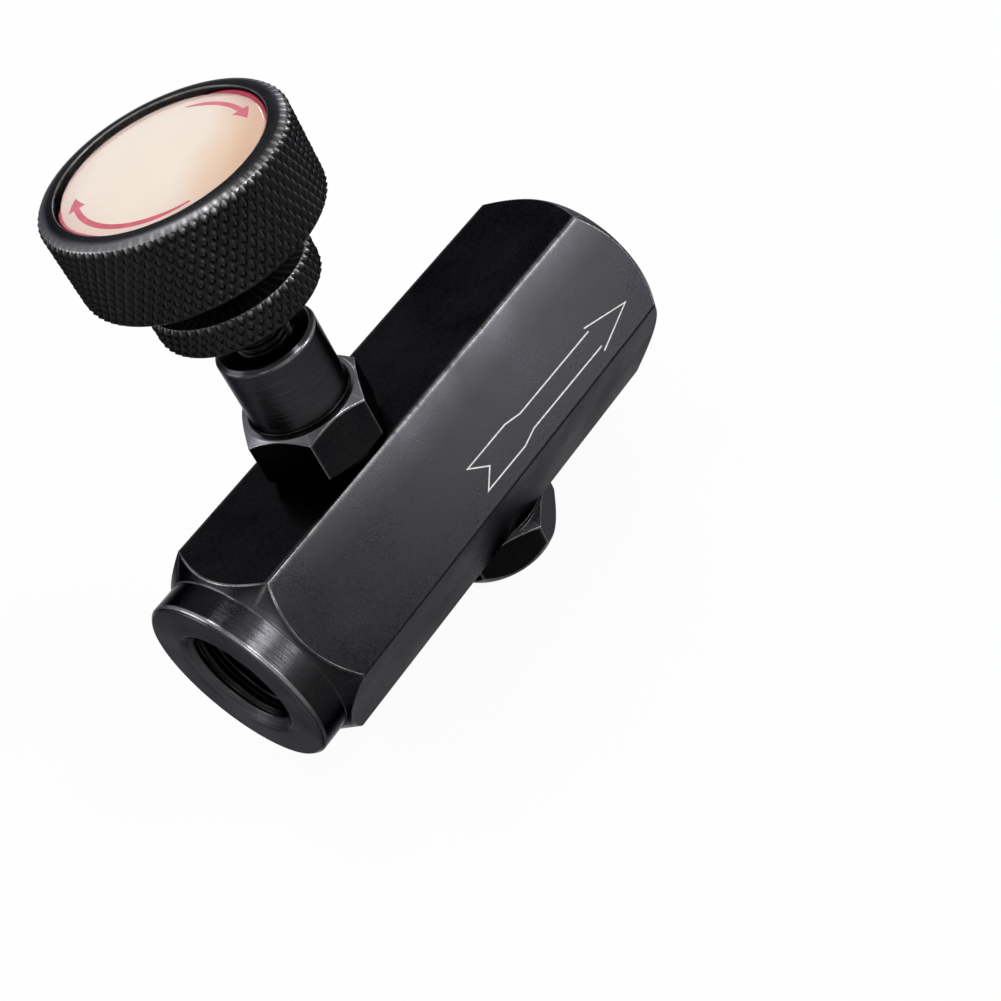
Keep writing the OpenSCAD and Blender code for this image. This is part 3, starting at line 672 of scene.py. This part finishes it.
def makeKnob(s, knurl):
    # Knurled side, crowned rim, recess for the dial, pocket for the screw and a bore with a flat: the
    # bore's radius is the lesser of its own and the flat's distance over the cosine of the angle
    radius = (knobHigh[0] - knobLow[0]) / 2
    low, high = knobLow[2], knobHigh[2]
    angle, side, cut, sideWear = knurledSide(radius, low, high - s["crown"], knurl)
    bore = np.minimum(s["boreRadius"], s["flatAt"] / np.maximum(np.cos(angle), 0.01))
    floor, hub = high - s["recessDepth"], low + s["hubDepth"]
    pocket = floor - s["pocketDepth"]
    rim = radius - knurl["edge"]
    rest = [
        *[(rim - inward, high - s["crown"] * share) for inward, share in s["crownSteps"]],
        (s["recessRadius"] + s["crownWidth"], high), (s["recessRadius"], high), (s["recessRadius"], floor),
        (s["pocketRadius"], floor), (s["pocketRadius"], pocket), (bore, pocket), (bore, hub),
        (s["hubRadius"], hub), (s["hubRadius"], low), (s["hubRadius"] + s["landWidth"], low)]
    smooth, bends = roundedOutline(len(angle), rest, s["bends"])
    rows = np.concatenate([side, smooth], 1)
    onTop = smooth[..., 1] > high - s["crown"]
    number = np.arange(rows.shape[1])
    onRim = (number >= side.shape[1] - s["rimRows"]) & (rows[..., 0] > rim - s["rimWidth"])
    rubAndSheen = np.where(onRim, byAngle(angle, s["crownRubAndSheen"]), 0)
    rubAndSheen[:, side.shape[1]:] = np.maximum(rubAndSheen[:, side.shape[1]:], onTop * s["topRub"])
    wear = np.concatenate([sideWear * byAngle(angle, s["toothWearAndGlints"]), s["topWear"] * bends * onTop], 1)
    layers = {"wear": wear, "rubAndSheen": rubAndSheen, "turned": number >= side.shape[1]}
    return knurledPiece("knobShell", angle, rows, cut, layers)


dress(makeKnob(knobSizes, knurlSizes), "knob", gripFinish, "knob")

ringSizes = {
    "threadInner": 3.05, "threadOuter": 3.3, "threadPitch": 0.75, "mouthRadius": 3.5, "landWidth": 0.6,
    "mouthDepth": 0.45, "runOut": 0.05, "bends": [0, 0.1, 0],
    # Real wear on the tooth tips, and painted glints where light catches the teeth
    "toothWearAndGlints": {0: 0.5, 60: 0.3, 230: 0.3, 255: 0.9, 300: 0.9, 325: 0.5, 360: 0.5},
}


def makeRing(s, knurl):
    # Knurled side, flat top, threaded bore between two countersinks, and flat underside
    radius = (ringHigh[0] - ringLow[0]) / 2
    low, high = ringLow[2], ringHigh[2]
    angle, side, cut, sideWear = knurledSide(radius, low, high, knurl)
    land = s["mouthRadius"] + s["landWidth"]
    top = [(land, high), (s["mouthRadius"], high), (s["threadInner"], high - s["mouthDepth"])]
    under = [(s["threadInner"], low + s["mouthDepth"]), (s["mouthRadius"], low), (land, low)]
    top, under = [roundedOutline(len(angle), part, s["bends"])[0] for part in (top, under)]
    edge = s["mouthDepth"] + s["runOut"]
    thread = threadRows(angle, high - edge, low + edge, s)
    rows = np.concatenate([side, top, thread, under], 1)
    smooth = ((0, 0), (0, rows.shape[1] - side.shape[1]))
    wear = np.pad(sideWear * byAngle(angle, s["toothWearAndGlints"]), smooth)
    turned = np.arange(rows.shape[1]) >= side.shape[1]
    return knurledPiece("lockRingShell", angle, rows, cut, {"wear": wear, "turned": turned})


dress(makeRing(ringSizes, knurlSizes), "lock_ring", gripFinish, "lock_ring")
print("knob and ring made")


# Stem with its adjusting thread

stemSizes = {
    "tipRadius": 0.5, "tipTop": -1.27, "waistRadius": 2.3, "coneTop": 3.19, "landRadius": 3.5,
    "landLow": 6.2, "grooveLow": 10.4, "grooveTop": 12.5, "grooveRadius": 2.47, "shoulder": 14.2,
    "threadOuter": 3.0, "threadInner": 2.58, "threadPitch": 0.75, "runOut": 0.3, "hub": 41.3,
    "tangRadius": 2.3, "flatAt": 1.656, "tapRadius": 1.55, "tapDepth": 8.0, "tapPoint": 0.7, "sides": 96,
    "lowBends": [0, 0.08, 0.3, 0.2, 0.1, 0.05, 0.05, 0.05, 0.05, 0.1, 0],
    "highBends": [0, 0.03, 0.1, 0.1, 0.05, 0],
}


def makeStem(s):
    # Outline turned round the needle's axis: cone, waist, land with its seal groove, thread, a tang with a
    # flat as wide off the axis as the knob's, and a tapped hole down it
    angle = evenAngles(s["sides"])
    tang = np.minimum(s["tangRadius"], s["flatAt"] / np.maximum(np.cos(angle), 0.01))
    lower = [
        (0, s["tipTop"]), (s["tipRadius"], s["tipTop"]), (s["waistRadius"], s["coneTop"]),
        (s["waistRadius"], s["landLow"] - s["landRadius"] + s["waistRadius"]),
        (s["landRadius"], s["landLow"]), (s["landRadius"], s["grooveLow"]),
        (s["grooveRadius"], s["grooveLow"]), (s["grooveRadius"], s["grooveTop"]),
        (s["landRadius"], s["grooveTop"]), (s["landRadius"], s["shoulder"]),
        (s["threadInner"], s["shoulder"])]
    thread = threadRows(angle, s["shoulder"] + s["runOut"], s["hub"] - s["runOut"], s, perTurn=10)
    tapEnd = stemTop - s["tapDepth"]
    upper = [
        (s["threadInner"], s["hub"]), (tang, s["hub"]), (tang, stemTop), (s["tapRadius"], stemTop),
        (s["tapRadius"], tapEnd), (0, tapEnd - s["tapPoint"])]
    low = roundedOutline(s["sides"], lower, s["lowBends"])[0]
    high = roundedOutline(s["sides"], upper, s["highBends"])[0]
    return gridPiece("stemShell", aboutZ(angle, np.concatenate([low, thread, high], 1), needleX))


dress(makeStem(stemSizes), "knob", stemFinish, "needle_stem")
print("stem made")


# Dial: cream plate, two red turning arrows, two red bands at its rim that are a painted refraction of the
# arrows, and the clear dome

dialSizes = {
    "plateRadius": 10.6, "plateThickness": 0.6, "domeRadius": 10.45, "domeEdge": 0.7, "domeRise": 0.8,
    "domeSeat": 0.05, "domeSteps": 24, "domeBends": [0, 0.08, 0.3], "plateBends": [0, 0.1, 0.12, 0],
    "sides": 192, "arrowRadius": 8.8, "arrowWidth": 0.6, "arrowSteps": 60, "tail": (0.35, 2.85),
    "headWidth": 1.8, "headSteps": 16, "tip": 0.02, "headTurn": 13, "printLow": 0.002, "printHigh": 0.03,
    "arrows": {"turnArrowNear": (243, 134), "turnArrowFar": (28, -34)}, "rimRadius": 10.67, "rimWidth": 0.4,
    "rimHeight": 0.9, "rimSeat": 0.02, "rimSteps": 48, "rimEnds": (0.02, 0.98),
    # The bands at the rim are a painted refraction of the red arrows at the dome's edge
    "paintedRefractions": {"paintedRefraction0": (-52, 24), "paintedRefraction1": (134, 218)},
}
dialLook = {
    "patchScale": 130, "fibreScale": 2600, "dark": (0.88, 0.785, 0.69), "light": (0.91, 0.825, 0.73),
    # Painted warm shade on one side of the plate, and a painted pink glow near its rim
    "paintedWarmShade": (0.8, 0.54, 0.34), "paintedShadeSide": (0.4, -0.92, 0), "paintedShadeRange": (0.0025, 0.009), "paintedShadeRagged": 0.002,
    "paintedPinkGlow": (0.95, 0.6, 0.58), "paintedPinkGlowRange": (0, 0.4, 0.0082, 0.0102), "rough": (0.42, 0.55),
    "bump": 0.15, "depth": 0.00001,
}
resinLook = {
    "waveScale": 180, "ior": 1.5, "tint": (1, 0.995, 0.99), "rough": 0.03, "bump": 0.05, "depth": 0.00005,
}
printLook = {
    "scale": 900, "dark": (0.6, 0.03, 0.09), "light": (0.76, 0.08, 0.15), "rough": (0.4, 0.5), "bump": 0.1,
    "depth": 0.00001,
}
# Painted refraction: a darker red for the bands that stand in for the arrows seen through the dome's edge
paintedRefractionLook = {**printLook, "dark": (0.34, 0.006, 0.035), "light": (0.5, 0.012, 0.075)}
plateTop = knobHigh[2] - knobSizes["recessDepth"] + dialSizes["plateThickness"]


def dialFinish(look):
    # Cream print on a plate, with faint patches. Along one direction, past a ragged line, it turns to a
    # painted warm shade, and a painted pink glow of the dome's edge sets in with the distance from the axis.
    material, shader, place = finish("creamDial")
    tree = material.node_tree
    patches = noise(place, look["patchScale"], 2)
    fibre = noise(place, look["fibreScale"], 2)
    cream = blendColour(spread(patches), look["dark"], look["light"])
    across = addNode(tree, "ShaderNodeVectorMath", {0: place, 1: look["paintedShadeSide"]}, operation="DOT_PRODUCT")
    ragged = spread(patches, -look["paintedShadeRagged"], look["paintedShadeRagged"], 0.2, 0.8)
    middleAt = look["paintedShadeSide"][0] * needleX * mm
    paintedShadeFrom, paintedShadeTo = [middleAt + reach for reach in look["paintedShadeRange"]]
    share = spread(combine("ADD", across.outputs["Value"], ragged), 0, 1, paintedShadeFrom, paintedShadeTo)
    paintedWarmShade = blendColour(share, cream, look["paintedWarmShade"])
    centre = (needleX * mm, 0, plateTop * mm)
    fromAxis = addNode(tree, "ShaderNodeVectorMath", {0: place, 1: centre}, operation="DISTANCE")
    paintedPinkGlow = spread(fromAxis.outputs["Value"], *look["paintedPinkGlowRange"])
    feed(shader, {"Base Color": blendColour(paintedPinkGlow, paintedWarmShade, look["paintedPinkGlow"]),
                  "Roughness": spread(fibre, *look["rough"]),
                  "Normal": bump(fibre, look["bump"], look["depth"])})
    return material


def patchyFinish(name, look):
    # Ink, painted red refraction or metal in a scratched line: one noise sets the colour, dark to light, the
    # gloss and the relief
    material, shader, place = finish(name)
    patches = noise(place, look["scale"], 3)
    feed(shader, {"Base Color": blendColour(spread(patches), look["dark"], look["light"]),
                  "Roughness": spread(patches, *look["rough"]),
                  "Normal": bump(patches, look["bump"], look["depth"])})
    return material


def resinFinish(look):
    # Clear cast resin with a trace of waviness
    material, shader, place = finish("clearResin")
    waves = noise(place, look["waveScale"], 2)
    feed(shader, {"Transmission Weight": 1.0, "IOR": look["ior"], "Base Color": look["tint"],
                  "Roughness": spread(waves, 0, look["rough"]),
                  "Normal": bump(waves, look["bump"], look["depth"])})
    return material


def makePlate(s):
    # Disc: a rectangle turned round the needle's axis
    low = plateTop - s["plateThickness"]
    outer = [(0, low), (s["plateRadius"], low), (s["plateRadius"], plateTop), (0, plateTop)]
    rows = roundedOutline(s["sides"], outer, s["plateBends"])[0]
    return gridPiece("dialPlate", aboutZ(evenAngles(s["sides"]), rows, needleX))


def makeDome(s):
    # Spherical cap on a short cylinder, with a small round edge between them. The ball's radius is the sum of
    # the squares of the cap's radius and rise over twice the rise. The plate closes it, without air.
    ball = (s["domeRadius"] ** 2 + s["domeRise"] ** 2) / (2 * s["domeRise"])
    reach = np.arcsin(s["domeRadius"] / ball) * np.linspace(1, 0, s["domeSteps"])
    base = plateTop - s["domeSeat"]
    height = plateTop + s["domeEdge"] + s["domeRise"] - ball * (1 - np.cos(reach))
    outer = [(0, base), (s["domeRadius"], base), *zip(ball * np.sin(reach), height)]
    rows = roundedOutline(s["sides"], outer, s["domeBends"] + [0] * (s["domeSteps"] - 1), 6)[0]
    return gridPiece("dialDome", aboutZ(evenAngles(s["sides"]), rows, needleX))


def arcBand(name, angle, radius, halfWidth, low, height):
    # Flat band along an arc round the needle's axis, from the radius less half its width to the radius plus
    # that, and from its lower height up by its own height
    corners = [(-1, 0), (1, 0), (1, 1), (-1, 1)]
    rows = [np.stack([radius + side * halfWidth, low + level * height], -1) for side, level in corners]
    return cappedPiece(name, aboutZ(angle, np.stack(rows, 1), needleX).swapaxes(0, 1))


def makeTurnArrow(name, s, tail, head):
    # Arrow along an arc. Its width grows to the shaft's over the first part, and falls over the head from the
    # head's to a point.
    neck = head - np.sign(head - tail) * np.radians(s["headTurn"])
    shaft, point = s["arrowSteps"], s["headSteps"]
    angle = np.concatenate([np.linspace(tail, neck, shaft), np.linspace(neck, head, point)])
    width = np.concatenate([s["arrowWidth"] * np.minimum(1, np.linspace(*s["tail"], shaft)),
                            s["headWidth"] * np.linspace(1, s["tip"], point)])
    height = np.full(len(angle), s["printHigh"] - s["printLow"])
    return arcBand(name, angle, s["arrowRadius"], width / 2, plateTop + s["printLow"], height)


def makePaintedRefraction(name, s, tail, head):
    # Painted refraction of the red arrows: a red band between the dome's side and the recess. Its width and
    # height taper to both ends as the root of the sine of its share along the arc.
    share = np.sqrt(np.sin(np.linspace(*s["rimEnds"], s["rimSteps"]) * turn / 2))
    angle = np.linspace(tail, head, s["rimSteps"])
    halfWidth, height = share * s["rimWidth"] / 2, share * s["rimHeight"]
    return arcBand(name, angle, s["rimRadius"], halfWidth, plateTop - s["rimSeat"], height)


dress(makePlate(dialSizes), "knob", dialFinish(dialLook), "dial_plate")
dress(makeDome(dialSizes), "knob", resinFinish(resinLook), "dial_lens")
redPrint = patchyFinish("redPrint", printLook)
for name, ends in dialSizes["arrows"].items():
    dress(makeTurnArrow(name, dialSizes, *np.radians(ends)), "knob", redPrint)
paintedRefractionFinish = patchyFinish("paintedRedRefraction", paintedRefractionLook)
for name, ends in dialSizes["paintedRefractions"].items():
    dress(makePaintedRefraction(name, dialSizes, *np.radians(ends)), "knob", paintedRefractionFinish)
print("dial made")


# Flow arrow, engraved as an outline on the flat that faces forwards and up

flowArrow = {
    "tipX": 60.2, "headX": 53.7, "shaftEndX": 53.9, "shaftX": 40.3, "flareX": 38.0, "tailX": 31.0,
    "notchX": 33.2, "middle": -3.4, "lean": -0.016, "headHalf": 1.74, "shaftHalf": 1.13, "tailHalf": 1.65,
    "line": 0.16, "sunk": 0.01, "proud": 0.02,
}
engravedLook = {"scale": 2400, "dark": (0.42, 0.41, 0.4), "light": (0.72, 0.71, 0.69), "rough": (0.45, 0.6),
                "bump": 0.4, "depth": 0.00002}


def makeFlowArrow(s):
    # Ribbon along each open line. Its edges meet at a corner on the line that halves the angle, at half the
    # width over the cosine of half the bend. The flat lies the body's half width off, along its normal.
    normal = np.array([0, -np.cos(turn / 12), np.sin(turn / 12)])
    upwards = np.array([0, np.sin(turn / 12), np.cos(turn / 12)])
    half = [(s["shaftEndX"], s["shaftHalf"]), (s["shaftX"], s["shaftHalf"]), (s["flareX"], s["tailHalf"]),
            (s["tailX"], s["tailHalf"])]
    lines = [
        [(s["headX"], s["headHalf"]), (s["tipX"], 0), (s["headX"], -s["headHalf"])],
        [*half, (s["notchX"], 0), *[(x, -y) for x, y in half[::-1]]],
    ]
    made = []
    for number, line in enumerate(lines):
        path = np.array(line)
        path[:, 1] += s["middle"] + s["lean"] * (path[:, 0] - s["tailX"])
        ahead = np.diff(path, axis=0)
        ahead /= np.linalg.norm(ahead, axis=1, keepdims=True)
        before, after = np.vstack([ahead[:1], ahead]), np.vstack([ahead, ahead[-1:]])
        halving = before + after
        halving /= np.linalg.norm(halving, axis=1, keepdims=True)
        stretch = np.maximum((halving * after).sum(1, keepdims=True), 0.35)
        across = np.stack([-halving[:, 1], halving[:, 0]], -1) / stretch
        edges = []
        for side, out in [(-0.5, -s["sunk"]), (0.5, -s["sunk"]), (0.5, s["proud"]), (-0.5, s["proud"])]:
            flat = path + across * side * s["line"]
            edges.append(flat[:, :1] * [1, 0, 0] + flat[:, 1:] * upwards + (flatZ + out) * normal)
        made.append(cappedPiece(f"flowArrowLine{number}", np.stack(edges)))
    return made


engraved = patchyFinish("engravedLine", engravedLook)
for line in makeFlowArrow(flowArrow):
    dress(line, "housing", engraved)
print("flow arrow made")


# Check spring, which its poppet squeezes in the valve; here it is one fixed helix

springSizes = {
    "radius": 2.8, "wire": 0.4, "turns": 4, "closed": 0.832, "travel": 1.8, "sides": 12, "perTurn": 36,
}


def makeSpring(s):
    # Round wire along a helix, whose height over its turns is steep in the middle and one wire a turn at
    # both ends
    length = springHigh[2] - springLow[2]
    rise = length - 2 * s["wire"]
    turns = np.linspace(0, s["turns"], s["turns"] * s["perTurn"] + 1)
    rises = [0, s["closed"], rise - s["closed"], rise]
    height = springLow[2] + s["wire"] + np.interp(turns, [0, 1, s["turns"] - 1, s["turns"]], rises)
    section = evenAngles(s["sides"])[:, None]
    away = s["radius"] + s["wire"] * np.cos(section)
    lines = np.stack([checkX + away * np.cos(turn * turns), away * np.sin(turn * turns),
                      height + s["wire"] * np.sin(section)], -1)
    wire = cappedPiece("checkSpringWire", lines)
    dress(wire, "housing", zincFinish, "check_spring")
    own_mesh(wire)


makeSpring(springSizes)
print("spring made")


# Inner nodes keep their exact solids and get their finishes

innerFinishes = {
    "bonnet_o_ring": rubberFinish, "stem_o_ring": rubberFinish, "plug_o_ring": rubberFinish,
    "stem_backup_ring": backingFinish, "knob_screw": zincFinish, "knob_spring_washer": zincFinish,
    "check_poppet": poppetFinish,
}
for node, material in innerFinishes.items():
    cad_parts[node].data.materials.clear()
    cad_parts[node].data.materials.append(material)


# Studio: pale floor, white surroundings, soft lamps and the camera

studio = {
    "floorSize": 3.0, "floorGap": 0.05, "floorColour": (0.8, 0.8, 0.8), "floorRough": 0.9, "floorWhite": 0.94,
    "worldFill": 0.42, "lampDistance": 1.0, "middleHeight": 0.01,
}
lamps = {
    "keyLamp": {"side": (0.30, -0.60, 0.74), "size": (0.14, 0.30), "power": 2.6},
    "sideLamp": {"side": (0.532, -0.797, 0.283), "size": (0.32, 0.14), "power": 4.2},
    "leftLamp": {"side": (-0.80, -0.35, 0.48), "size": (0.26, 0.30), "power": 1.6},
    "topLamp": {"side": (0.17, 0.22, 0.96), "size": (0.2, 0.2), "power": 1.6},
    "backLamp": {"side": (-0.62, 0.62, 0.48), "size": (0.5, 0.4), "power": 2.6},
    "rightLamp": {"side": (0.77, 0.53, 0.34), "size": (0.28, 0.28), "power": 1.8},
}


def seenDirectly(tree):
    # 1 on rays from the camera, from glossy surfaces and through glass, and 0 on the rest
    path = addNode(tree, "ShaderNodeLightPath", {})
    seen = combine("MAXIMUM", path.outputs["Is Camera Ray"], path.outputs["Is Glossy Ray"])
    return combine("MAXIMUM", seen, path.outputs["Is Transmission Ray"])


def makeFloor(s):
    # One pale square, nearly white where it is seen, and clear from below so that the underside can be seen
    half = s["floorSize"] / 2
    level = cadBox[0][2] - s["floorGap"] * mm
    corners = [(-half, -half, level), (half, -half, level), (half, half, level), (-half, half, level)]
    mesh = bpy.data.meshes.new("floor")
    mesh.from_pydata(corners, [], [(0, 1, 2, 3)])
    floor = bpy.data.objects.new("floor", mesh)
    bpy.context.scene.collection.objects.link(floor)
    material, shader, _ = finish("paleFloor")
    tree = material.node_tree
    feed(shader, {"Base Color": s["floorColour"], "Roughness": s["floorRough"]})
    glow = addNode(tree, "ShaderNodeEmission", {"Strength": 1.0}).outputs["Emission"]
    white = combine("MULTIPLY", seenDirectly(tree), s["floorWhite"])
    above = addNode(tree, "ShaderNodeMixShader", {"Fac": white, 1: shader.outputs["BSDF"], 2: glow})
    clear = addNode(tree, "ShaderNodeBsdfTransparent", {}).outputs["BSDF"]
    below = addNode(tree, "ShaderNodeNewGeometry", {}).outputs["Backfacing"]
    sides = addNode(tree, "ShaderNodeMixShader", {"Fac": below, 1: above.outputs["Shader"], 2: clear})
    feed(tree.nodes["Material Output"], {"Surface": sides.outputs["Shader"]})
    floor.data.materials.append(material)


def makeWorld(s):
    # White where it is seen, and a dimmer fill as light on the object
    world = bpy.data.worlds.new("studio")
    bpy.context.scene.world = world
    world.use_nodes = True
    strength = spread(seenDirectly(world.node_tree), s["worldFill"], 1, 0, 1)
    feed(world.node_tree.nodes["Background"], {"Color": (1, 1, 1), "Strength": strength})


def makeLamp(name, s, distance, target):
    # Rectangular lamp at a distance from the target in its own direction, turned to face it
    lamp = bpy.data.lights.new(name, "AREA")
    lamp.shape = "RECTANGLE"
    lamp.size, lamp.size_y = s["size"]
    lamp.energy = s["power"]
    holder = bpy.data.objects.new(name, lamp)
    bpy.context.scene.collection.objects.link(holder)
    direction = Vector(s["side"]).normalized()
    holder.location = Vector(target) + direction * distance
    holder.rotation_euler = direction.to_track_quat("Z", "Y").to_euler()


view = {
    "place": (-0.04933, -0.12689, 0.11980), "azimuth": np.radians(-32.49), "elevation": np.radians(40.70),
    "roll": np.radians(-28.87), "lens": 61.63, "sensor": 36.0, "shift": (0.06, 0.03), "clip": (0.005, 20),
}


def makeCamera(s):
    # The camera looks along minus its back direction, which the azimuth and elevation give, and is rolled
    # about it
    flat = np.cos(s["elevation"])
    back = Vector((np.sin(s["azimuth"]) * flat, -np.cos(s["azimuth"]) * flat, np.sin(s["elevation"])))
    level = (-back).cross(Vector((0, 0, 1))).normalized()
    raised = level.cross(-back)
    right = level * np.cos(s["roll"]) + raised * np.sin(s["roll"])
    up = back.cross(right)
    lens = bpy.data.cameras.new("photoCamera")
    lens.sensor_width = s["sensor"]
    lens.lens = s["lens"]
    lens.shift_x, lens.shift_y = s["shift"]
    lens.clip_start, lens.clip_end = s["clip"]
    camera = bpy.data.objects.new("photoCamera", lens)
    bpy.context.scene.collection.objects.link(camera)
    turned = Matrix((right, up, back)).transposed().to_4x4()
    camera.matrix_world = Matrix.Translation(Vector(s["place"])) @ turned
    bpy.context.scene.camera = camera


makeFloor(studio)
makeWorld(studio)
middle = ((cadBox[0][0] + cadBox[1][0]) / 2, 0, studio["middleHeight"])
for name, lamp in lamps.items():
    makeLamp(name, lamp, studio["lampDistance"], middle)
makeCamera(view)
bpy.context.scene.view_settings.view_transform = "Standard"
print("studio made")
